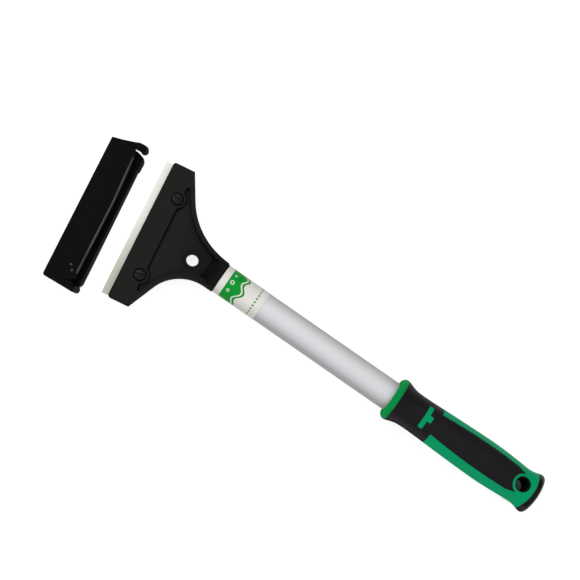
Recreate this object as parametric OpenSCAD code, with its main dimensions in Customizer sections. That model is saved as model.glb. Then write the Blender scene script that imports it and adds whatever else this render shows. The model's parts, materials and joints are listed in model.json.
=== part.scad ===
// Long-handled algae scraper with a clamped blade and a slide-on blade cover.
// The handle's axis is the Y axis and the blade is at its +Y end.
// +Z is the face that is turned up when the scraper lies on a table.
// The origin is the centre of the hanging hole in the grip.

/* [Handle] */
// Outer diameter of the aluminium tube
tube_d = 20.5; // [20:0.5:21]
// Wall thickness of the tube
tube_wall = 1.2; // [1:0.1:1.5]
// Distance from the hanging hole to the shoulder of the head
neck_y = 240.4; // [225:0.1:260]
// Radius of the hanging hole
hang_r = 4.5; // [4:0.1:4.5]
// Thickness of the soft sleeve over the hard grip
sleeve_t = 1.5; // [1.2:0.1:1.6]

/* [Head] */
// Width of the head
head_w = 101.2; // [100:0.1:102]
// Angle between the handle and the head's centre line
yaw = 8.8; // [7:0.1:10]
// How far the head's turning centre is to the right of the handle's axis
head_shift = 2; // [1:0.1:3]
// Distance from the head's turning centre to its front edge
front_v = 24.4; // [23:0.1:25]
// How far the head's turning centre is from the neck
pivot_reach = 38.6; // [37.5:0.1:40]
// Length of each straight side edge
side_edge = 15.3; // [14:0.1:16]
// Angle of the flared sides behind the side edges
flare = 26.25; // [25:0.25:28]
// Radius of the hole through the web
web_hole_r = 4.15; // [3.5:0.05:4.5]

/* [Blade] */
// Length of the blade
blade_w = 99; // [94:0.5:100]
// How far the blade stands out of the head
blade_out = 5; // [4:0.1:7]
// Thickness of the blade
blade_t = 0.5; // [0.4:0.1:0.6]
// Width of the ground edge
bevel_w = 3; // [2:0.5:4]

/* [Clamp screws] */
// Diameter of the slotted screw heads
screw_head_d = 8; // [7:0.5:8]
// Diameter of the screw threads
screw_d = 4; // [3:0.5:4]
// Distance from one screw to the other
screw_pitch = 57; // [50:1:60]

/* [Blade cover] */
// Gap between the blade's edge and the lip of the cover lying in front of it
cover_gap = 12.2; // [8:0.1:16]
// How far the cover lying in front of the head is to the left of the head's middle
cover_shift = 4.4; // [0:0.1:4.5]
// Depth of the cover's upper plate
cover_top = 21.2; // [20:0.1:21.2]
// How far the lower lip reaches past the upper plate
cover_lip = 6.1; // [5:0.1:6.5]

/* [Hidden] */
$fn = 96;

// Small amounts: an overshoot for cuts and the play between sliding faces.
eps = 0.5;
overlap = 1;
play = 0.02;
far = 200;

// Levels. The scraper lies on its collar and on the head's lower ribs.
table_z = -15.3;
blade_top_z = -11.05;
band_top_z = -6.3;
plate_t = 1.6;
plate_top_z = blade_top_z - blade_t - 2 * play;
plate_bottom_z = plate_top_z - plate_t;

// Head, measured from its turning centre: u to the side, v forward, p back from the front edge.
pivot_y = neck_y + pivot_reach;
half_w = head_w / 2;
neck_half = 10.3;
rim_w = 3;
web_lap = 0.4;
tip_r = 1.5;
fillet_left = 27;
fillet_right = 55;
corner_r = 2;
screw_p = 12.9;
step_p = 15.2;
boss_r = 6;
hole_p = 40.4;
web_slope = 8;
floor_drop = 2.2;
web_t = 3;
rear_edge_p = 10.2;
heel_p = 18.8;
rib_p = 19.2;
rib_t = 2.4;
rib_half = 34;
rim_depth = 4;
underside_rib_t = 1.6;

// Screw parts
counterbore = 0.8;
screw_head_h = 2.2;
screw_head_z = band_top_z - counterbore;
slot_w = 1.2;
slot_depth = 1.1;

// Grip: [distance along the axis, radius] at its turning points.
grip_outline = [[103, 13.2], [101.4, 14.8], [99.4, 15.3], [97.4, 14.8], [95.4, 14.1],
                [91.4, 13], [87.4, 12.65], [83.4, 12.6], [75.5, 12.75], [59.6, 13.35],
                [43.7, 13.8], [27.8, 14.05], [15.9, 13.65], [4.6, 12.9], [0.7, 12.6],
                [-3.6, 12.95], [-7.6, 14], [-9.2, 14.35], [-10.6, 14.15], [-12, 13],
                [-13, 10.4], [-13.6, 6.9], [-13.9, 0]];
tube_start_y = 14;
collar_y = 98.7;
rail_start_y = 68.9;
inlay_wide = 9.5;
inlay_wide_y = 30;
inlay_start = 7.6;
inlay_taper_y = 8;
ring_r = 7;
liner_t = 0.9;
bore_half = 11;
mark_y = 77.4;
mark_half = 8;
mark_t = 3.3;
mark_tongue = 4.4;
mark_raise = 0.35;
cap_split_r = 42.6;
cap_split_y = -8.6;

// Label and rivet
label_y = 207.9;
label_t = 0.15;
spigot_y = 196;
rivet_y = 201.5;
rivet_r = 2;
rivet_head_r = 3.6;
rivet_head_h = 1.1;

// Cover: w runs from its back edge towards the head; n is to the side.
cover_back_half = 51.2;
cover_half = 53.2;
cover_wall = 1.3;
cover_in_half = half_w + 0.4;
cover_z0 = table_z + 0.05;
lip_top_z = cover_z0 + 1.25;
cover_in_z = band_top_z + 0.3;
cover_z1 = cover_in_z + 1.4;
cover_len = cover_top + cover_lip;
strip_z = blade_top_z + 0.35;
hook_root_n = 54.5;
boss_n = -51.8;
boss_w = 24.5;
boss_r2 = 2.5;

// Turns a list of points into the same list with a smooth curve through them.
function curve(p, n) = [
    for (i = [0 : len(p) - 2])
        let (a = p[max(i - 1, 0)], b = p[i], c = p[i + 1], d = p[min(i + 2, len(p) - 1)])
            for (k = [0 : n - 1])
                let (t = k / n)
                    0.5 * (2 * b + (c - a) * t + (2 * a - 5 * b + 4 * c - d) * t * t
                           + (3 * b - a - 3 * c + d) * t * t * t)
];

// Moves a shape from the head's own axes to the handle's axes.
module in_head() {
    translate([head_shift, pivot_y, 0])
        rotate([0, 0, yaw])
            children();
}

// Same, for the blade cover where it lies off the blade.
module in_cover() {
    in_head()
        translate([-cover_shift, front_v + blade_out + cover_gap + cover_len, 0])
            mirror([0, 1, 0])
                children();
}

// Turns a direction from the head's axes to the handle's.
function turned(p) = [p[0] * cos(yaw) - p[1] * sin(yaw), p[0] * sin(yaw) + p[1] * cos(yaw)];
// The rear corner of one side edge, moved in by inset; s is -1 for left and 1 for right.
function corner(s, inset) =
    let (in_v = inset * (1 - sin(flare)) / cos(flare))
        [head_shift, pivot_y] + turned([s * (half_w - inset), front_v - side_edge + in_v]);
function flare_angle(s) = flare + s * yaw;
function fillet_r(s) = s < 0 ? fillet_left : fillet_right;
// Where the concave side curve touches the flared side.
function flare_touch(s) =
    let (r = fillet_r(s), f = flare_angle(s), c = corner(s, 0), x = neck_half + r - r * sin(f))
        [s * x, c[1] - (s * c[0] - x) * tan(f)];
function fillet_centre(s) =
    let (r = fillet_r(s), f = flare_angle(s), q = flare_touch(s))
        [s * (neck_half + r), q[1] - r * cos(f)];

// Points of one side of the head's outline, moved inward by inset, from the neck to the band.
function side_points(s, inset) =
    let (f = flare_angle(s))
        [[s * (neck_half - inset), neck_y],
         [s * (neck_half - inset), fillet_centre(s)[1]],
         flare_touch(s) + inset * [-s * sin(f), cos(f)],
         corner(s, inset),
         corner(s, inset) + turned([0, overlap])];

// Outline of the web between the neck and the side edges' rear corners.
module web_outline(inset) {
    left = side_points(-1, inset);
    right = side_points(1, inset);
    difference() {
        polygon(concat(left, [for (k = [len(right) - 1 : -1 : 0]) right[k]]));
        for (s = [-1, 1])
            translate(fillet_centre(s))
                circle(fillet_r(s) + inset);
    }
}

// Outline of the front band with its two rounded front corners.
module band_outline(inset) {
    w = half_w - inset;
    v = front_v - inset;
    r = corner_r;
    back = front_v - side_edge + web_lap;
    translate([-w, back])
        square([2 * w, v - r - back]);
    translate([r - w, back])
        square([2 * (w - r), v - back]);
    for (s = [-1, 1])
        translate([s * (w - r), v - r])
            circle(r);
}

// Outline of the upper pocket, with rounded tips beside the clamp screws.
module pocket_outline() {
    tip_v = front_v - step_p - tip_r;
    tip_u = half_w - (step_p + tip_r - side_edge + (rim_w + tip_r) / cos(flare)) / tan(flare);
    intersection() {
        web_outline(rim_w);
        in_head() {
            translate([-tip_u, -far])
                square([2 * tip_u, 2 * far]);
            for (s = [-1, 1])
                translate([s * tip_u, tip_v])
                    circle(tip_r);
        }
    }
}

// Extrudes a profile drawn in (v, z) across the whole head.
module across_head(width) {
    in_head()
        translate([-width / 2, 0, 0])
            rotate([90, 0, 90])
                linear_extrude(width)
                    children();
}

// Level of the pocket's sloping floor.
function floor_z(v) = band_top_z - floor_drop + (front_v - step_p - v) * tan(web_slope);

// Everything above the pocket's floor.
module above_floor() {
    start_v = front_v - step_p;
    end_v = -60;
    across_head(2 * head_w)
        polygon([[start_v, floor_z(start_v)], [start_v, far], [end_v, far], [end_v, floor_z(end_v)]]);
}

// Everything below the web, behind the cross rib.
module below_web() {
    start_v = front_v - rib_p - rib_t;
    end_v = -26;
    across_head(2 * head_w)
        polygon([[start_v, -far], [start_v, floor_z(start_v) - web_t],
                 [end_v, floor_z(end_v) - web_t], [end_v, -far]]);
}

// Side view of the web and its rims: low and shallow at the band, high at the neck.
module rim_profile() {
    front = front_v - side_edge + 2 * web_lap;
    rear = front_v - rib_p;
    across_head(2 * head_w)
        polygon([[front, blade_top_z], [front, band_top_z], [front_v - step_p - 2, band_top_z],
                 [-33, 5.5], [-48, 8.5], [-48, -4], [-29, -5.2], [-12, floor_z(-12) - rim_depth],
                 [rear, blade_top_z]]);
}

// Widening cone round the handle's axis; it trims the web's rims flush with the neck.
module neck_cone() {
    length = 80;
    spread = 1.1;
    translate([0, neck_y, 0])
        rotate([-90, 0, 0])
            cylinder(h = length, r1 = tube_d / 2, r2 = tube_d / 2 + spread * length);
}

// Two ribs under the web, from the neck to the clamp screws.
module underside_ribs() {
    start = [0, neck_y + 12];
    for (s = [-1, 1]) {
        goal = [head_shift, pivot_y] + turned([s * screw_pitch / 2, front_v - screw_p]);
        run = goal - start;
        translate([start[0], start[1], -20])
            rotate(atan2(run[1], run[0]))
                translate([0, -underside_rib_t / 2, 0])
                    cube([norm(run), underside_rib_t, 40]);
    }
}

module head_web() {
    difference() {
        intersection() {
            translate([0, 0, table_z - 1])
                linear_extrude(40)
                    web_outline(0);
            rim_profile();
            neck_cone();
        }
        // upper pocket, with a round boss left standing round each screw
        difference() {
            intersection() {
                translate([0, 0, -20])
                    linear_extrude(60)
                        pocket_outline();
                above_floor();
            }
            in_head()
                for (s = [-1, 1])
                    translate([s * screw_pitch / 2, front_v - screw_p, -20])
                        cylinder(h = 20 + band_top_z, r = boss_r);
        }
        // lower pocket
        difference() {
            intersection() {
                translate([0, 0, -20])
                    linear_extrude(60)
                        web_outline(rim_w);
                below_web();
            }
            underside_ribs();
        }
    }
    // cross rib behind the clamp plate, on which the head lies
    in_head()
        translate([-rib_half, front_v - rib_p - rib_t, table_z])
            cube([2 * rib_half, rib_t, floor_z(front_v - rib_p) - 1 - table_z]);
}

module head_band() {
    edge = 0.7;
    in_head() {
        translate([0, 0, blade_top_z])
            linear_extrude(band_top_z - blade_top_z - edge)
                band_outline(0);
        translate([0, 0, band_top_z - edge])
            linear_extrude(edge)
                band_outline(edge);
    }
}

// Round neck, cut on a slope where it runs into the pocket and under the web, and its spigot.
module head_neck() {
    length = 26;
    slope_y = neck_y + 3.4;
    slope_run = 9;
    nose_y = neck_y + 12;
    sunk = 0.3;
    floor_y = slope_y + slope_run;
    difference() {
        translate([0, neck_y, 0])
            rotate([-90, 0, 0])
                cylinder(h = length, r = tube_d / 2);
        rotate([90, 0, 90])
            translate([0, 0, -20])
                linear_extrude(40) {
                    polygon([[slope_y, 10.5], [floor_y, floor_z(floor_y - pivot_y) - sunk],
                             [neck_y + length + 1, floor_z(neck_y + length + 1 - pivot_y) - sunk],
                             [neck_y + length + 1, 20], [slope_y, 20]]);
                    polygon([[nose_y, -tube_d / 2 - 0.1], [neck_y + length + 1, -6],
                             [neck_y + length + 1, -20], [nose_y, -20]]);
                }
    }
    translate([0, spigot_y, 0])
        rotate([-90, 0, 0])
            cylinder(h = neck_y - spigot_y + eps, r = tube_d / 2 - tube_wall - 0.05);
}

module scraper_head() {
    pad_half = web_t / 2 + 0.9;
    hole_v = front_v - hole_p;
    hole_y = pivot_y + hole_v;
    color([0.06, 0.06, 0.06])
        difference() {
            union() {
                head_web();
                head_band();
                head_neck();
                translate([0, hole_y, floor_z(hole_v) - web_t / 2 - pad_half])
                    cylinder(h = 2 * pad_half, r = web_hole_r + 1.9);
            }
            translate([0, hole_y, -20])
                cylinder(h = 40, r = web_hole_r);
            in_head()
                for (s = [-1, 1])
                    translate([s * screw_pitch / 2, front_v - screw_p, 0]) {
                        translate([0, 0, -20])
                            cylinder(h = 20, r = screw_d / 2 + 0.2);
                        translate([0, 0, screw_head_z])
                            cylinder(h = 10, r = screw_head_d / 2 + 0.5);
                    }
            translate([0, rivet_y, -20])
                cylinder(h = 20, r = rivet_r);
        }
}

// The clamp plate's outline in the head's axes: square in front, tapered behind the side edges.
module plate_outline(inset) {
    w = half_w - inset;
    front = front_v - inset;
    side = front_v - side_edge + inset;
    rear = front_v - heel_p;
    taper = (side - rear) / tan(flare);
    polygon([[-w, front], [w, front], [w, side], [w - taper, rear], [taper - w, rear], [-w, side]]);
}

// Steel plate under the band. Its heel stands behind the blade and carries the threads.
module blade_clamp_plate() {
    lead = 1;
    color([0.32, 0.33, 0.34])
        difference() {
            intersection() {
                across_head(head_w)
                    polygon([[front_v - lead, plate_bottom_z + 0.6], [front_v - lead, plate_top_z],
                             [front_v - rear_edge_p - 0.1, plate_top_z],
                             [front_v - rear_edge_p - 0.1, blade_top_z - play],
                             [front_v - heel_p, blade_top_z - play],
                             [front_v - heel_p, plate_bottom_z],
                             [front_v - lead - 0.8, plate_bottom_z]]);
                in_head()
                    translate([0, 0, -20])
                        linear_extrude(20)
                            plate_outline(0.3);
            }
            in_head()
                for (s = [-1, 1])
                    translate([s * screw_pitch / 2, front_v - screw_p, -20])
                        cylinder(h = 20, r = screw_d / 2 + 0.05);
        }
}

module scraper_blade() {
    z = blade_top_z - play;
    color([0.8, 0.81, 0.8])
        across_head(blade_w)
            polygon([[front_v - rear_edge_p, z], [front_v - rear_edge_p, z - blade_t],
                     [front_v + blade_out, z - blade_t],
                     [front_v + blade_out, z - blade_t + 0.04],
                     [front_v + blade_out - bevel_w, z]]);
}

// Slotted pan-head screw; turn sets the direction of the driver slot.
module clamp_screw(s, turn) {
    r = screw_head_d / 2;
    flat = 1.3;
    color([0.12, 0.12, 0.12])
        in_head()
            translate([s * screw_pitch / 2, front_v - screw_p, 0])
                difference() {
                    union() {
                        translate([0, 0, screw_head_z])
                            rotate_extrude()
                                polygon([[0, 0], [r, 0], [r, flat], [r - 0.35, flat + 0.5],
                                         [r - 1.3, screw_head_h - 0.1], [0, screw_head_h]]);
                        translate([0, 0, plate_bottom_z])
                            cylinder(h = screw_head_z - plate_bottom_z + eps, r = screw_d / 2);
                    }
                    rotate([0, 0, turn])
                        translate([-r - 1, -slot_w / 2, screw_head_z + screw_head_h - slot_depth])
                            cube([2 * r + 2, slot_w, 5]);
                }
}

module clamp_screw_left() {
    clamp_screw(-1, -81);
}

module clamp_screw_right() {
    clamp_screw(1, 76);
}

module tube() {
    color([0.78, 0.79, 0.8])
        difference() {
            translate([0, tube_start_y, 0])
                rotate([-90, 0, 0])
                    cylinder(h = neck_y - tube_start_y, r = tube_d / 2);
            translate([0, tube_start_y - 1, 0])
                rotate([-90, 0, 0])
                    cylinder(h = neck_y + 2, r = tube_d / 2 - tube_wall);
            translate([0, rivet_y, -20])
                cylinder(h = 20, r = rivet_r);
        }
}

module label() {
    color([0.9, 0.89, 0.84])
        translate([0, label_y, 0])
            rotate([-90, 0, 0])
                difference() {
                    cylinder(h = neck_y - label_y - 0.2, r = tube_d / 2 + label_t);
                    translate([0, 0, -1])
                        cylinder(h = neck_y, r = tube_d / 2);
                }
}

// Dome-headed rivet that holds the spigot in the tube, on the underside.
module head_rivet() {
    seat_z = -tube_d / 2;
    color([0.7, 0.7, 0.71])
        translate([0, rivet_y, 0]) {
            translate([0, 0, seat_z])
                cylinder(h = 6, r = rivet_r);
            translate([0, 0, seat_z])
                mirror([0, 0, 1])
                    rotate_extrude()
                        polygon([[0, 0], [rivet_head_r, 0], [rivet_head_r - 0.2, 0.5],
                                 [rivet_head_r - 1.2, 0.95], [0, rivet_head_h + 0.1]]);
        }
}

// Solid of revolution of the grip, grown or shrunk by grow, down to the cap's tip.
module grip_body(grow) {
    rotate([-90, 0, 0])
        rotate_extrude()
            polygon(concat([[0, grip_outline[0][0]]],
                           [for (q = curve(grip_outline, 2)) [max(q[1] + grow, 0), q[0]]],
                           [[0, grip_outline[len(grip_outline) - 1][0]]]));
}

// Half width of the soft inlay at a place along the grip.
function inlay_half(y) =
    inlay_wide - (inlay_wide - inlay_start) * pow((y - inlay_wide_y) / (rail_start_y - inlay_wide_y), 2);

module inlay_outline() {
    steps = 12;
    ys = [for (k = [0 : steps]) inlay_taper_y + (rail_start_y + 1 - inlay_taper_y) * k / steps];
    difference() {
        polygon(concat([[0, 0.5], [ring_r - 0.1, 0.5]],
                       [for (y = ys) [inlay_half(y), y]],
                       [for (k = [0 : steps]) [-inlay_half(ys[steps - k]), ys[steps - k]]],
                       [[0.1 - ring_r, 0.5]]));
        circle(ring_r);
    }
}

// Plain raised mark on the upper side: a bar with a short tongue.
module mark_outline() {
    r = 0.8;
    bar = [2 * mark_half, mark_t];
    tongue = [mark_tongue, mark_t + 0.6];
    for (part = [[bar, [0, mark_y]], [tongue, [0, mark_y - mark_t + 0.8]]])
        translate([part[1][0] - part[0][0] / 2, part[1][1] - part[0][1] / 2]) {
            translate([r, 0])
                square([part[0][0] - 2 * r, part[0][1]]);
            translate([0, r])
                square([part[0][0], part[0][1] - 2 * r]);
            for (x = [r, part[0][0] - r])
                for (y = [r, part[0][1] - r])
                    translate([x, y])
                        circle(r);
        }
}

// The space round the core: the sleeve behind the collar and both inlays.
module soft_space() {
    translate([-20, rail_start_y, -20])
        cube([40, collar_y - rail_start_y, 40]);
    translate([0, 0, -20])
        linear_extrude(40)
            inlay_outline();
}

module hang_hole(grow) {
    translate([0, 0, -20])
        cylinder(h = 40, r = hang_r + grow);
}

// Hard core: the inner body, with the collar, the rails and the end standing out of the sleeve.
module grip_core() {
    color([0, 0.55, 0.32])
        difference() {
            intersection() {
                union() {
                    grip_body(-sleeve_t);
                    difference() {
                        grip_body(0);
                        soft_space();
                    }
                }
                cap_split();
            }
            hang_hole(liner_t);
            translate([0, tube_start_y, 0])
                rotate([-90, 0, 0])
                    cylinder(h = 100, r = tube_d / 2);
        }
}

// Everything on the grip's side of the curved joint with the end cap.
module cap_split() {
    reach = 100;
    translate([0, cap_split_y + cap_split_r, -20])
        cylinder(h = 40, r = cap_split_r);
    translate([-20, cap_split_y + cap_split_r, -20])
        cube([40, reach, 40]);
}

// Soft sleeve behind the collar, with an inlay down the upper and the lower side.
module grip_overmould() {
    color([0.11, 0.11, 0.12])
        difference() {
            intersection() {
                grip_body(0);
                soft_space();
            }
            grip_body(-sleeve_t);
            linear_extrude(20)
                mark_outline();
        }
}

// Hard insert let into the sleeve, standing a little proud of it.
module grip_mark() {
    color([0, 0.55, 0.32])
        difference() {
            intersection() {
                grip_body(mark_raise);
                translate([0, 0, 5])
                    linear_extrude(15)
                        mark_outline();
            }
            grip_body(-sleeve_t);
        }
}

// Lining of the hanging hole.
module hang_eyelet() {
    color([0.11, 0.11, 0.12])
        difference() {
            translate([0, 0, -bore_half])
                cylinder(h = 2 * bore_half, r = hang_r + liner_t);
            hang_hole(0);
        }
}

module end_cap() {
    color([0.11, 0.11, 0.12])
        difference() {
            grip_body(0);
            cap_split();
        }
}

// Rounded finger of the cover's hook, as [n, w, radius] along its middle.
hook_path = [[53, 15, 1.6], [53.3, 18.8, 2.6], [53.3, 21.4, 2.6], [52.8, 23.3, 2.8], [52.1, 24, 2.6]];

module hook_outline() {
    for (k = [0 : len(hook_path) - 2])
        hull()
            for (q = [hook_path[k], hook_path[k + 1]])
                translate([q[0], q[1]])
                    circle(q[2], $fn = 32);
}

// Front edge of the upper plate, as [n, w] points: it falls back towards the hook.
top_edge = [[-cover_half, cover_top - 0.6], [-40, cover_top - 0.2], [-22, cover_top], [12, cover_top],
            [36, cover_top - 0.7], [46, cover_top - 1.6]];

// Outline of the upper plate: its ends splay towards the hook and the boss.
module cover_top_outline() {
    polygon(concat([[-cover_back_half, 0], [cover_back_half, 0], [52.6, 7], [hook_root_n, 14.4],
                    [hook_root_n, 17.6], [50.4, 18], [48.6, cover_top - 2.4]],
                   [for (k = [len(top_edge) - 1 : -1 : 0]) top_edge[k]]));
}

// Outline of the lower plate and its lip, with a small step near the hook.
module cover_lip_outline() {
    step_n = 39.5;
    step_d = 0.8;
    front = cover_len - 0.5;
    polygon([[-cover_back_half, 0], [cover_back_half, 0], [51.8, 15], [51.5, 19.4], [50.8, 21.4],
             [50, 23.4], [48.8, 25.2], [47.2, front - 0.4], [45.4, front], [step_n, front - 0.2],
             [step_n - 1, front - step_d], [0, front - 0.4], [-30, front - 0.1],
             [-46, front - 0.1], [-cover_half, 22.5]]);
}

// Half-round bead between two [n, w] points, standing rise above the level z.
module bead(a, b, r, z, rise) {
    run = b - a;
    translate([a[0], a[1], z + rise - r])
        rotate(atan2(run[1], run[0]))
            rotate([0, 90, 0])
                cylinder(h = norm(run), r = r);
}

// Folded guard that slides over the blade, the band and the clamp plate.
module blade_cover() {
    ridge_r = 0.9;
    ridge_rise = 0.5;
    seat_w = 7;
    notch_n = 4.9 - cover_half;
    nib_r = 0.8;
    lip_groove_half = 44;
    groove_depth = 0.5;
    groove_w = 3.2;
    color([0.08, 0.08, 0.08])
        in_cover() {
            // lower plate with a shallow groove behind the front of its lip
            difference() {
                translate([0, 0, cover_z0])
                    linear_extrude(lip_top_z - cover_z0)
                        cover_lip_outline();
                translate([-lip_groove_half, cover_len - 6.2, lip_top_z - groove_depth])
                    cube([2 * lip_groove_half, groove_w, 2]);
            }
            // back wall
            translate([-cover_back_half, 0, cover_z0])
                cube([2 * cover_back_half, cover_wall, cover_z1 - cover_z0]);
            // upper plate with a slit near its end
            difference() {
                translate([0, 0, cover_in_z])
                    linear_extrude(cover_z1 - cover_in_z)
                        cover_top_outline();
                translate([notch_n, cover_top + 0.1, cover_in_z - 1])
                    linear_extrude(5)
                        polygon([[0, 0], [-0.8, -6.4], [2, -1.4], [2, 0]]);
            }
            // ridge along the upper plate's edge, in two lengths
            bead([-42, cover_top - 1.4], [14, cover_top - 1.05], ridge_r, cover_z1, ridge_rise);
            bead([11, cover_top - 1.05], [45, cover_top - 2.5], ridge_r - 0.05, cover_z1, ridge_rise);
            // end wall below the hook, and the hook, which reaches over the head's shoulder
            translate([0, 0, cover_z0])
                linear_extrude(cover_z1 - cover_z0 - 0.2)
                    polygon([[cover_back_half - 1, 0.3], [cover_back_half - 0.2, 0.3], [52.4, 7],
                             [hook_root_n - 0.4, 14.4], [hook_root_n - 0.4, 16], [cover_in_half + 0.3, 16],
                             [cover_in_half, seat_w]]);
            translate([0, 0, cover_in_z])
                linear_extrude(cover_z1 - cover_in_z - 0.1)
                    hook_outline();
            // wall and round boss at the other end, clear of the blade's way out
            translate([0, 0, strip_z])
                linear_extrude(cover_z1 - strip_z - 0.2)
                    polygon([[1 - cover_back_half, 0.3], [0.2 - cover_back_half, 0.3],
                             [0.4 - cover_half, cover_top - 0.9],
                             [-cover_in_half - 0.2, cover_top - 0.9], [-cover_in_half, seat_w]]);
            translate([0, 0, cover_in_z + 0.1])
                linear_extrude(cover_z1 - cover_in_z - 0.2)
                    polygon([[0.3 - cover_half, cover_top - 2], [boss_n - boss_r2 + 0.2, boss_w],
                             [boss_n, boss_w], [boss_n + 1.5, cover_top - 2]]);
            translate([boss_n, boss_w, cover_in_z])
                rotate_extrude()
                    polygon([[0, 0], [boss_r2, 0], [boss_r2, 1.2], [boss_r2 - 0.5, 1.6],
                             [boss_r2 - 1.5, 1.9], [0, 1.9]]);
            // two small nibs
            for (k = [0, 1])
                translate([11.6 - cover_half + 3.4 * k, cover_top - 5 - 2.2 * k, cover_z1 - 0.1])
                    cylinder(h = 0.6, r = nib_r);
        }
}

scraper_head();
blade_clamp_plate();
scraper_blade();
clamp_screw_left();
clamp_screw_right();
tube();
label();
head_rivet();
grip_core();
grip_overmould();
grip_mark();
hang_eyelet();
end_cap();
blade_cover();
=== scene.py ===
import bpy, json, math
from mathutils import Matrix, Vector


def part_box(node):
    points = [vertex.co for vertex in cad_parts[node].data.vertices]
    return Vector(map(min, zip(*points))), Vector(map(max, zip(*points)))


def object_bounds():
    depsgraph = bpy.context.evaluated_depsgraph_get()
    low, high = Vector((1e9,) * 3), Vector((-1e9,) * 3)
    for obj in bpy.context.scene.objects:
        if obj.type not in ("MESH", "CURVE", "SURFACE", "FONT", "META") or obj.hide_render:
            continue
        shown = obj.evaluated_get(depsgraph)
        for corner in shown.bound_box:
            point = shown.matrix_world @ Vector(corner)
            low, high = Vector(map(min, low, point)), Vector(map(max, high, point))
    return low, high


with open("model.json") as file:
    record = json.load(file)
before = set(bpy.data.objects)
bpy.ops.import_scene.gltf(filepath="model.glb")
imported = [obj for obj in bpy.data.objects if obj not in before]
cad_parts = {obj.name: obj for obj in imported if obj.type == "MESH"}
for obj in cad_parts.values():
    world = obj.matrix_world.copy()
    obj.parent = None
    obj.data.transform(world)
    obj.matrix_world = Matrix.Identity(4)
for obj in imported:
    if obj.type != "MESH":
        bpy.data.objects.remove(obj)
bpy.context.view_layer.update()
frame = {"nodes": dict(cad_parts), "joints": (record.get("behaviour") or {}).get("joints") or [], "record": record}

NODES = frame["nodes"]
RECORD = frame["record"]
JOINTS = {j["name"]: j for j in frame["joints"]}
MM = 0.001
scene = bpy.context.scene

# ---------------------------------------------------------------- directions and places
# The blade slides out against SIDE, and its edge looks FORWARD.
SIDE = -Vector(JOINTS["blade_slide"]["axis"]).normalized()
FORWARD = Vector((-SIDE.y, SIDE.x, 0))
HEAD_TURN = math.degrees(math.atan2(SIDE.y, SIDE.x))


def reach(node, direction):
    """The nearest and farthest distance of a node's points in one direction."""
    obj = NODES[node]
    at = [(obj.matrix_world @ v.co).dot(direction) for v in obj.data.vertices]
    return min(at), max(at)


def mount_place(name):
    """Where one of the record's mounts is."""
    return Vector(next(m["pos_m"] for m in RECORD["mounts"] if m["name"] == name))


# ---------------------------------------------------------------- shader nodes
# The Mix node has one set of sockets for each kind of data; these are its colours.
MIX_A = 6
MIX_B = 7
MIX_RESULT = 2
# Most of a noise texture lies between these values.
NOISE_LO = 0.3
NOISE_HI = 0.7


def grey(value):
    return (value, value, value)


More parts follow.
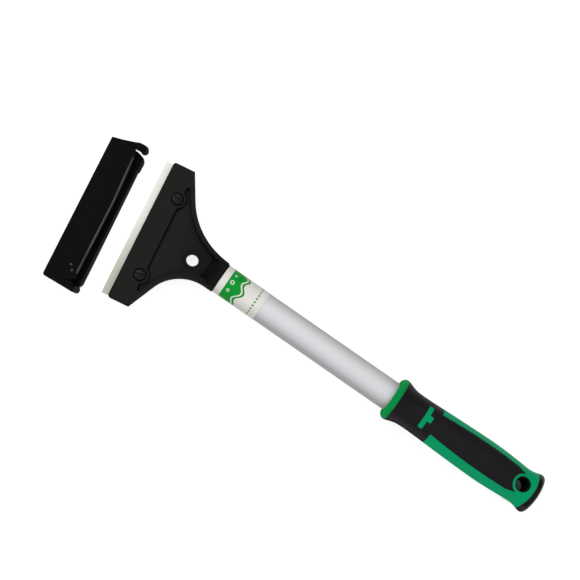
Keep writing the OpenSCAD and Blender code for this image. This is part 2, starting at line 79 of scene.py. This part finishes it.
class Shader:
    """One material: its Principled shader, and the nodes that feed it."""

    def __init__(self, name, color, rough, metallic=0.0, specular=0.5):
        self.mat = bpy.data.materials.new(name)
        self.mat.use_nodes = True
        self.mat.diffuse_color = (*color, 1)
        self.tree = self.mat.node_tree
        self.bsdf = self.tree.nodes["Principled BSDF"]
        self.feed("Base Color", color)
        self.feed("Roughness", rough)
        self.feed("Metallic", metallic)
        self.feed("Specular IOR Level", specular)
        self.coord = self.node("ShaderNodeTexCoord").outputs["Object"]

    def node(self, kind):
        return self.tree.nodes.new(kind)

    def join(self, value, socket):
        """Links another node's output, or sets a number or a colour of three numbers."""
        if isinstance(value, bpy.types.NodeSocket):
            self.tree.links.new(value, socket)
        elif isinstance(value, tuple):
            socket.default_value = (*value, 1)
        else:
            socket.default_value = value

    def feed(self, name, value):
        """Gives the Principled shader one of its inputs."""
        self.join(value, self.bsdf.inputs[name])

    # -- numbers
    def math(self, op, a, b=0.0, clamp=False):
        n = self.node("ShaderNodeMath")
        n.operation = op
        n.use_clamp = clamp
        self.join(a, n.inputs[0])
        self.join(b, n.inputs[1])
        return n.outputs[0]

    def product(self, a, b, clamp=False):
        return self.math("MULTIPLY", a, b, clamp)

    def invert(self, value):
        return self.math("SUBTRACT", 1.0, value)

    def distance(self, x, y, at_x, at_y):
        """How far (x, y) is from the point (at_x, at_y)."""
        dx = self.math("SUBTRACT", x, at_x)
        dy = self.math("SUBTRACT", y, at_y)
        return self.math("SQRT", self.math("ADD", self.product(dx, dx), self.product(dy, dy)))

    def span(self, value, lo, hi, out_lo=0.0, out_hi=1.0):
        """Carries lo to out_lo and hi to out_hi, and stays level beyond them."""
        n = self.node("ShaderNodeMapRange")
        self.join(value, n.inputs["Value"])
        for key, limit in (("From Min", lo), ("From Max", hi), ("To Min", out_lo), ("To Max", out_hi)):
            n.inputs[key].default_value = limit
        return n.outputs["Result"]

    def spread(self, noise, out_lo, out_hi):
        """Carries a noise's usual range to new limits."""
        return self.span(noise, NOISE_LO, NOISE_HI, out_lo, out_hi)

    # -- patterns; a scale counts features to the metre
    def noise(self, scale, detail=3, rough=0.55, vector=None):
        n = self.node("ShaderNodeTexNoise")
        n.inputs["Scale"].default_value = scale
        n.inputs["Detail"].default_value = detail
        n.inputs["Roughness"].default_value = rough
        self.join(vector or self.coord, n.inputs["Vector"])
        return n.outputs["Fac"]

    def streaks(self, scales, detail, turn=0.0):
        """Noise with its own scale on each axis; turn is in degrees round Z."""
        n = self.node("ShaderNodeMapping")
        self.join(self.coord, n.inputs["Vector"])
        n.inputs["Scale"].default_value = scales
        n.inputs["Rotation"].default_value = (0, 0, math.radians(turn))
        return self.noise(1, detail, vector=n.outputs[0])

    def cells(self, scale):
        n = self.node("ShaderNodeTexVoronoi")
        n.inputs["Scale"].default_value = scale
        self.join(self.coord, n.inputs["Vector"])
        return n.outputs["Distance"]

    # -- places on the object
    def xyz(self):
        n = self.node("ShaderNodeSeparateXYZ")
        self.join(self.coord, n.inputs[0])
        return n.outputs

    def along(self, direction):
        """Distance from the origin in a level direction."""
        place = self.xyz()
        return self.math("ADD", self.product(place[0], direction.x), self.product(place[1], direction.y))

    def face_up(self, lo=0.15, hi=0.7):
        """1 on faces that look up, 0 on walls; lo and hi are upward parts of the normal."""
        n = self.node("ShaderNodeSeparateXYZ")
        self.join(self.node("ShaderNodeTexCoord").outputs["Normal"], n.inputs[0])
        return self.span(n.outputs[2], lo, hi)

    def openness(self, distance, lo, hi, samples=8):
        """0 deep in a groove or corner, 1 in the open; the materials darken their colour with it as painted shade.
        """
        n = self.node("ShaderNodeAmbientOcclusion")
        n.samples = samples
        n.inputs["Distance"].default_value = distance
        return self.span(n.outputs["AO"], lo, hi)

    # -- colours
    def mix(self, share, a, b, blend="MIX"):
        """Colour a where share is 0, colour b where it is 1."""
        n = self.node("ShaderNodeMix")
        n.data_type = "RGBA"
        n.blend_type = blend
        self.join(share, n.inputs["Factor"])
        self.join(a, n.inputs[MIX_A])
        self.join(b, n.inputs[MIX_B])
        return n.outputs[MIX_RESULT]

    def tint(self, a, b):
        """Two colours multiplied."""
        return self.mix(1.0, a, b, "MULTIPLY")

    # -- finish
    def dull_walls(self, rough):
        """Roughness that leaves gloss only on faces that look up, so walls do not mirror the floor."""
        self.feed("Roughness", self.math("MAXIMUM", rough, self.invert(self.face_up())))

    def bump(self, *layers):
        """Each layer: height, its depth in metres, and its strength."""
        normal = None
        for height, depth, strength in layers:
            n = self.node("ShaderNodeBump")
            n.inputs["Distance"].default_value = depth
            n.inputs["Strength"].default_value = strength
            self.join(height, n.inputs["Height"])
            if normal is not None:
                self.join(normal, n.inputs["Normal"])
            normal = n.outputs[0]
        self.feed("Normal", normal)


# ---------------------------------------------------------------- materials
def head_black():
    """Moulded black, with painted shade that makes it half as light at the neck as at the front band and black in
    its corners.
    """
    front = reach("scraper_head", FORWARD)[1]
    neck_end = front - 50 * MM
    band_end = front - 12 * MM
    s = Shader("head_black", (0.0105, 0.0108, 0.0097), 0.5, specular=0.05)
    blotch = s.noise(70, 4)
    body = s.mix(blotch, (0.0085, 0.0088, 0.0078), (0.0125, 0.0128, 0.0115))
    # Painted shade: the colour darkens towards the neck, where the pocket lies in shade.
    neck_shade = s.span(s.along(FORWARD), neck_end, band_end)
    body = s.tint(body, s.mix(neck_shade, grey(0.55), grey(1.1)))
    # Painted shade: grooves and corners turn black.
    s.feed("Base Color", s.mix(s.openness(3 * MM, 0.5, 0.88), grey(0.0006), body))
    s.dull_walls(s.spread(blotch, 0.44, 0.6))
    s.bump((s.noise(260, 3), 0.2 * MM, 0.12), (s.noise(2400, 2), 0.06 * MM, 0.35))
    return s.mat


def plate_steel():
    """Rolled sheet, with its lines along the plate."""
    s = Shader("plate_steel", (0.35, 0.36, 0.37), 0.42, metallic=1.0)
    roll = s.streaks((260, 3000, 3000), 4, -HEAD_TURN)
    s.feed("Base Color", s.mix(roll, (0.27, 0.275, 0.28), (0.42, 0.43, 0.44)))
    s.feed("Roughness", s.spread(roll, 0.34, 0.52))
    s.bump((roll, 0.03 * MM, 0.3))
    return s.mat


def blade_steel():
    """Ground edge band in front, polished strip behind it, both darker towards the left end as painted shade."""
    left, right = reach("scraper_blade", SIDE)
    width = right - left
    # the ground bevel is as wide as the CAD's, and its border wavers a little
    bevel_w = 3 * MM
    bevel_start = reach("scraper_blade", FORWARD)[1] - bevel_w
    waver = 0.3 * MM
    s = Shader("blade_steel", (0.6, 0.61, 0.58), 0.5, metallic=0.1, specular=0.2)
    fine = s.streaks((4200, 160, 160), 3, -HEAD_TURN)
    wavering = s.math("ADD", s.along(FORWARD), s.product(s.noise(160, 4), waver))
    ground = s.span(wavering, bevel_start - 0.1 * MM, bevel_start + 0.3 * MM)
    # Painted shade: strip and band are darker towards the left end.
    bright = s.span(s.along(SIDE), left + 0.16 * width, left + 0.6 * width)
    strip = s.mix(bright, (0.54, 0.53, 0.475), (0.87, 0.88, 0.83))
    band = s.mix(bright, (0.53, 0.52, 0.425), (0.84, 0.855, 0.79))
    s.feed("Base Color", s.tint(s.mix(ground, strip, band), s.mix(fine, grey(0.88), grey(1.0))))
    s.feed("Roughness", s.span(s.product(ground, fine), 0.0, 0.7, 0.42, 0.6))
    s.bump((fine, 0.03 * MM, 0.3))
    return s.mat


def screw_black():
    """Black oxide, worn a little lighter in spots, with painted shade that blackens its slot."""
    s = Shader("screw_black", (0.012, 0.012, 0.013), 0.3, specular=0.13)
    wear = s.noise(900, 3)
    skin = s.mix(s.span(wear, 0.55, 0.75), (0.0035, 0.0035, 0.0036), (0.02, 0.02, 0.019))
    # Painted shade: the slot and the corners round the head turn black.
    s.feed("Base Color", s.mix(s.openness(2.5 * MM, 0.5, 0.85), grey(0.0004), skin))
    s.feed("Roughness", s.spread(wear, 0.2, 0.36))
    s.bump((s.noise(1800, 2), 0.04 * MM, 0.25))
    return s.mat


def tube_aluminium():
    """Satin anodised: fine lines along the tube and faint cloudy variation in gloss, with painted shade that
    darkens it away from its top and near the grip, the head and the floor.
    """
    s = Shader("tube_aluminium", (0.66, 0.67, 0.69), 0.5, metallic=0.12, specular=0.12)
    line = s.streaks((2600, 14, 2600), 4)
    bare = s.mix(line, (0.61, 0.61, 0.625), (0.71, 0.71, 0.725))
    # Painted shade: darker near the other parts and the floor, and darker where the tube turns away from the top.
    shade = s.mix(s.openness(60 * MM, 0.7, 1.0, samples=16), (0.8, 0.8, 0.79), grey(1.02))
    side_shade = s.mix(s.face_up(0.5, 0.98), grey(0.6), grey(1.03))
    s.feed("Base Color", s.tint(s.tint(bare, shade), side_shade))
    gloss = s.math("ADD", line, s.product(s.noise(60, 3), 0.4))
    s.feed("Roughness", s.span(gloss, 0.4, 1.0, 0.42, 0.58))
    s.bump((line, 0.03 * MM, 0.22))
    return s.mat


def label_film():
    """Off-white film with a plain print: a green band with a wave in it, rings, and a dashed line; painted shade
    darkens it away from its top.
    """
    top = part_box("label")[1]
    # distances back from the label's end at the head
    band_near = 4.6 * MM
    band_far = 14.2 * MM
    dash_near = 26.5 * MM
    dash_far = 27.6 * MM
    # distances from the band's far edge, towards the head
    line_start = 1.6 * MM
    line_end = 2.7 * MM
    wave_length = 11.4 * MM
    wave_height = 1.5 * MM
    bow_height = 3.2 * MM
    dash_pitch = 2.6 * MM
    blur = 0.12 * MM
    # each ring's place across, distance back from the end and outer radius, in mm
    rings_mm = ((0.4, 7.6, 1.5), (-5.6, 7.9, 1.15), (5.9, 7.4, 0.95))
    ring_bore = 0.55

    s = Shader("label_film", (0.75, 0.72, 0.68), 0.42, specular=0.08)
    x, y, z = s.xyz()
    across = s.product(s.math("ARCTAN2", x, z), top.z)

    def wave(length):
        return s.math("SINE", s.product(across, math.tau / length))

    def past(value, at):
        return s.span(value, at - blur, at + blur)

    def within(value, start, end):
        return s.product(past(value, start), s.invert(past(value, end)))

    swell = s.product(wave(wave_length), wave_height)
    bow = s.product(s.math("COSINE", s.product(across, 1 / top.z)), bow_height)
    crest = s.math("ADD", s.math("SUBTRACT", y, swell), bow)
    far_edge = top.y - band_far
    band = s.product(past(crest, far_edge), s.invert(past(y, top.y - band_near)))
    blank = within(crest, far_edge + line_start, far_edge + line_end)
    for ring_across, back, r in rings_mm:
        off = s.distance(across, y, ring_across * MM, top.y - back * MM)
        blank = s.math("MAXIMUM", blank, within(off, r * ring_bore * MM, r * MM))
    green = s.product(band, s.invert(blank), clamp=True)
    dashes = s.product(within(y, top.y - dash_far, top.y - dash_near), s.span(wave(dash_pitch), -0.3, 0.1))
    ink = s.math("MAXIMUM", green, dashes, clamp=True)

    paper = s.mix(s.noise(300, 3), (0.70, 0.675, 0.64), (0.78, 0.76, 0.72))
    print_green = s.mix(s.noise(500, 3), (0.0, 0.24, 0.022), (0.003, 0.33, 0.035))
    # Painted shade: the film is darker where the tube turns away from the top.
    side_shade = s.mix(s.face_up(0.4, 0.95), (0.74, 0.75, 0.72), grey(1.02))
    s.feed("Base Color", s.tint(s.mix(ink, paper, print_green), side_shade))
    s.feed("Roughness", s.span(ink, 0.0, 1.0, 0.45, 0.35))
    s.bump((s.noise(900, 2), 0.03 * MM, 0.2))
    return s.mat


def rivet_aluminium():
    """Drawn metal with a fine uneven shine."""
    s = Shader("rivet_aluminium", (0.6, 0.6, 0.61), 0.34, metallic=1.0)
    drawn = s.noise(700, 3)
    s.feed("Base Color", s.mix(drawn, (0.5, 0.5, 0.51), (0.66, 0.66, 0.67)))
    s.feed("Roughness", s.spread(drawn, 0.26, 0.44))
    s.bump((drawn, 0.04 * MM, 0.2))
    return s.mat


def grip_green():
    """Satin green, a little less blue at the collar."""
    collar_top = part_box("grip_core")[1].y
    s = Shader("grip_green", (0.0, 0.33, 0.11), 0.5, specular=0.03)
    cloud = s.noise(55, 4)
    rail = s.mix(cloud, (0.0, 0.265, 0.1), (0.0015, 0.33, 0.138))
    collar = s.mix(cloud, (0.0, 0.225, 0.045), (0.002, 0.285, 0.068))
    at_collar = s.span(s.xyz()[1], collar_top - 14 * MM, collar_top - 5 * MM)
    s.feed("Base Color", s.mix(at_collar, rail, collar))
    s.dull_walls(s.spread(s.noise(220, 3), 0.34, 0.5))
    s.bump((s.noise(1500, 2), 0.05 * MM, 0.22))
    return s.mat


def grip_soft():
    """Soft black with a fine pebbled touch."""
    s = Shader("grip_soft", (0.013, 0.0125, 0.0145), 0.55, specular=0.14)
    cloud = s.noise(90, 4)
    s.feed("Base Color", s.mix(cloud, (0.0042, 0.0038, 0.0048), (0.0072, 0.0066, 0.0084)))
    s.dull_walls(s.spread(cloud, 0.48, 0.64))
    s.bump((s.cells(1900), 0.08 * MM, 0.3), (s.noise(3200, 2), 0.05 * MM, 0.25))
    return s.mat


def cap_black():
    """Smooth moulded black."""
    s = Shader("cap_black", (0.014, 0.014, 0.016), 0.3, specular=0.14)
    cloud = s.noise(120, 3)
    s.feed("Base Color", s.mix(cloud, (0.002, 0.002, 0.0022), (0.004, 0.004, 0.0045)))
    s.dull_walls(s.spread(cloud, 0.26, 0.38))
    s.bump((s.noise(1700, 2), 0.04 * MM, 0.15))
    return s.mat


def cover_black():
    """Glossy black, lighter on its lip and on all that stands up from wear and a painted highlight, but less by
    the left end, and black in its corners from painted shade.
    """
    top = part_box("blade_cover")[1].z
    lip = reach("blade_cover", FORWARD)[0]
    left = reach("blade_cover", SIDE)[0]
    s = Shader("cover_black", (0.0065, 0.006, 0.0055), 0.45, specular=0.03)
    patch = s.noise(45, 5, 0.65)
    specks = s.span(s.noise(420, 4, 0.7), 0.62, 0.75)
    skin = s.mix(s.span(patch, 0.4, 0.65), (0.0018, 0.0017, 0.0016), (0.0042, 0.0036, 0.0029))
    skin = s.mix(s.product(specks, 0.5), skin, (0.02, 0.019, 0.017))
    # Wear and a painted highlight: what stands up, and the lip's front strip, are lighter.
    high = s.span(s.xyz()[2], top - 0.5 * MM, top - 0.15 * MM)
    off_left = s.span(s.along(SIDE), left + 4 * MM, left + 7 * MM, 0.25, 1.0)
    on_lip = s.invert(s.span(s.along(FORWARD), lip + 2.2 * MM, lip + 2.6 * MM))
    wear_and_highlight = s.math("MAXIMUM", s.product(high, off_left), s.product(on_lip, 0.3))
    skin = s.mix(s.product(wear_and_highlight, s.span(patch, 0.3, 0.6, 0.45, 1.0)), skin, (0.085, 0.08, 0.072))
    # Painted shade: corners and grooves turn black.
    s.feed("Base Color", s.mix(s.openness(6 * MM, 0.4, 0.85), grey(0.0004), skin))
    s.dull_walls(s.spread(patch, 0.36, 0.55))
    s.bump((s.noise(300, 3), 0.15 * MM, 0.15), (s.noise(2200, 2), 0.05 * MM, 0.25))
    return s.mat


FINISHES = {
    "head_black": head_black(),
    "plate_steel": plate_steel(),
    "blade_steel": blade_steel(),
    "screw_black": screw_black(),
    "tube_aluminium": tube_aluminium(),
    "label_film": label_film(),
    "rivet_aluminium": rivet_aluminium(),
    "grip_green": grip_green(),
    "grip_soft": grip_soft(),
    "cap_black": cap_black(),
    "cover_black": cover_black(),
}
SLOT_OF = {p["node"]: p["material_slot"] for p in RECORD["subparts"]}

# ---------------------------------------------------------------- the CAD nodes
# How wide the sharp edges are rounded; the other nodes keep theirs.
EDGE_WIDTH = {
    "scraper_head": 0.35 * MM,
    "blade_cover": 0.35 * MM,
    "hang_eyelet": 0.2 * MM,
    "blade_clamp_plate": 0.15 * MM,
    "clamp_screw_left": 0.15 * MM,
    "clamp_screw_right": 0.15 * MM,
    "tube": 0.15 * MM,
}
WELD_GAP = 0.01 * MM
SHARP_ANGLE = math.radians(32)


def soften(obj, width):
    """Joins the faces of a CAD mesh and rounds its sharp edges."""
    weld = obj.modifiers.new("weld", "WELD")
    weld.merge_threshold = WELD_GAP
    bevel = obj.modifiers.new("bevel", "BEVEL")
    bevel.width = width
    bevel.segments = 2
    bevel.limit_method = "ANGLE"
    bevel.angle_limit = SHARP_ANGLE
    bevel.use_clamp_overlap = True
    bevel.harden_normals = False
    bevel.miter_outer = "MITER_ARC"
    flat = obj.modifiers.new("flat_faces", "WEIGHTED_NORMAL")
    flat.mode = "FACE_AREA"
    flat.weight = 100
    flat.keep_sharp = False


for name, obj in NODES.items():
    obj.data.materials.clear()
    obj.data.materials.append(FINISHES[SLOT_OF[name]])
    if name in EDGE_WIDTH:
        soften(obj, EDGE_WIDTH[name])

# ---------------------------------------------------------------- floor
FLOOR_HALF = 3
FLOOR_GAP = 0.2 * MM
# Straight below the hanging hole the floor does not glow, a painted shadow, so the hole looks dark from above.
DARK_RADIUS = 8 * MM
GLOW_RADIUS = 12 * MM


def floor_paper():
    """Pale paper that glows, but for a painted shadow in a disc below the hanging hole."""
    s = Shader("floor_paper", grey(0.9), 0.9, specular=0.0)
    s.feed("Base Color", s.mix(s.noise(3, 3), grey(0.26), grey(0.28)))
    s.feed("Emission Color", grey(1.0))
    place = s.xyz()
    hole = mount_place("hang_hole")
    off_hole = s.distance(place[0], place[1], hole.x, hole.y)
    # Painted shadow: no glow in the disc below the hanging hole.
    s.feed("Emission Strength", s.span(off_hole, DARK_RADIUS, GLOW_RADIUS, 0.0, 0.85))
    return s.mat


def floor_sheet():
    """A level square centred under the object, a hair below its lowest point."""
    lo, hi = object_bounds()
    middle = (lo + hi) / 2
    corners = [(middle.x + right * FLOOR_HALF, middle.y + up * FLOOR_HALF, lo.z - FLOOR_GAP)
               for right, up in ((-1, -1), (1, -1), (1, 1), (-1, 1))]
    mesh = bpy.data.meshes.new("floor")
    mesh.from_pydata(corners, [], [(0, 1, 2, 3)])
    mesh.materials.append(floor_paper())
    obj = bpy.data.objects.new("floor", mesh)
    scene.collection.objects.link(obj)
    return obj


floor = floor_sheet()


# ---------------------------------------------------------------- light and camera
# The dome has a radius of 1.
DIM_HEIGHT = 0.2
BRIGHT_HEIGHT = 0.8


def studio_dome(axis, horizon, zenith):
    """A soft white dome, dim up to one height along its axis and bright above another."""
    world = bpy.data.worlds.new("studio")
    scene.world = world
    world.use_nodes = True
    tree = world.node_tree
    back = tree.nodes["Background"]
    back.inputs["Color"].default_value = (1, 1, 1, 1)
    coord = tree.nodes.new("ShaderNodeTexCoord")
    height = tree.nodes.new("ShaderNodeVectorMath")
    height.operation = "DOT_PRODUCT"
    height.inputs[1].default_value = Vector(axis).normalized()
    tree.links.new(coord.outputs["Generated"], height.inputs[0])
    ramp = tree.nodes.new("ShaderNodeMapRange")
    ramp.interpolation_type = "SMOOTHSTEP"
    tree.links.new(height.outputs["Value"], ramp.inputs["Value"])
    ramp.inputs["From Min"].default_value = DIM_HEIGHT
    ramp.inputs["From Max"].default_value = BRIGHT_HEIGHT
    ramp.inputs["To Min"].default_value = horizon
    ramp.inputs["To Max"].default_value = zenith
    tree.links.new(ramp.outputs["Result"], back.inputs["Strength"])


studio_dome((-0.15, 0.0, 1.0), horizon=0.18, zenith=0.95)

# The camera looks at AIM from almost straight above. Angles are in degrees, azimuths from +X.
AIM = Vector((0.0201, 0.1985, 0))
CAMERA_DISTANCE = 1.2
CAMERA_LEAN = 10.73
LEAN_AZIMUTH = 175.06
# where the right-hand side of the picture points
RIGHT_AZIMUTH = -55.805
# in millimetres
SENSOR_WIDTH = 36
LENS = 112.1


def level(azimuth):
    """The level direction at an azimuth."""
    turn = math.radians(azimuth)
    return Vector((math.cos(turn), math.sin(turn), 0))


lean = math.radians(CAMERA_LEAN)
TO_CAMERA = math.sin(lean) * level(LEAN_AZIMUTH) + math.cos(lean) * Vector((0, 0, 1))
IMAGE_RIGHT = level(RIGHT_AZIMUTH + 90).cross(TO_CAMERA).normalized()
IMAGE_UP = TO_CAMERA.cross(IMAGE_RIGHT)


def area_light(name, place, size, power, color=(1, 1, 1)):
    """A square light that faces AIM; place is metres right, up and towards the camera from there."""
    data = bpy.data.lights.new(name, "AREA")
    data.shape = "SQUARE"
    data.size = size
    data.energy = power
    data.color = color
    light = bpy.data.objects.new(name, data)
    scene.collection.objects.link(light)
    light.location = AIM + place[0] * IMAGE_RIGHT + place[1] * IMAGE_UP + place[2] * TO_CAMERA
    light.rotation_mode = "QUATERNION"
    light.rotation_quaternion = (light.location - AIM).to_track_quat("Z", "Y")


area_light("key", (-0.3, 0.75, 1.3), 0.7, 6.5)
area_light("fill", (-1.1, -0.5, 0.9), 0.8, 2.0, (0.82, 0.88, 1.0))

camera_data = bpy.data.cameras.new("camera")
camera_data.sensor_width = SENSOR_WIDTH
camera_data.lens = LENS
camera_data.clip_start = 0.05
camera = bpy.data.objects.new("camera", camera_data)
scene.collection.objects.link(camera)
basis = Matrix((IMAGE_RIGHT, IMAGE_UP, TO_CAMERA)).transposed()
camera.matrix_world = Matrix.Translation(AIM + CAMERA_DISTANCE * TO_CAMERA) @ basis.to_4x4()
scene.camera = camera
scene.view_settings.view_transform = "Standard"
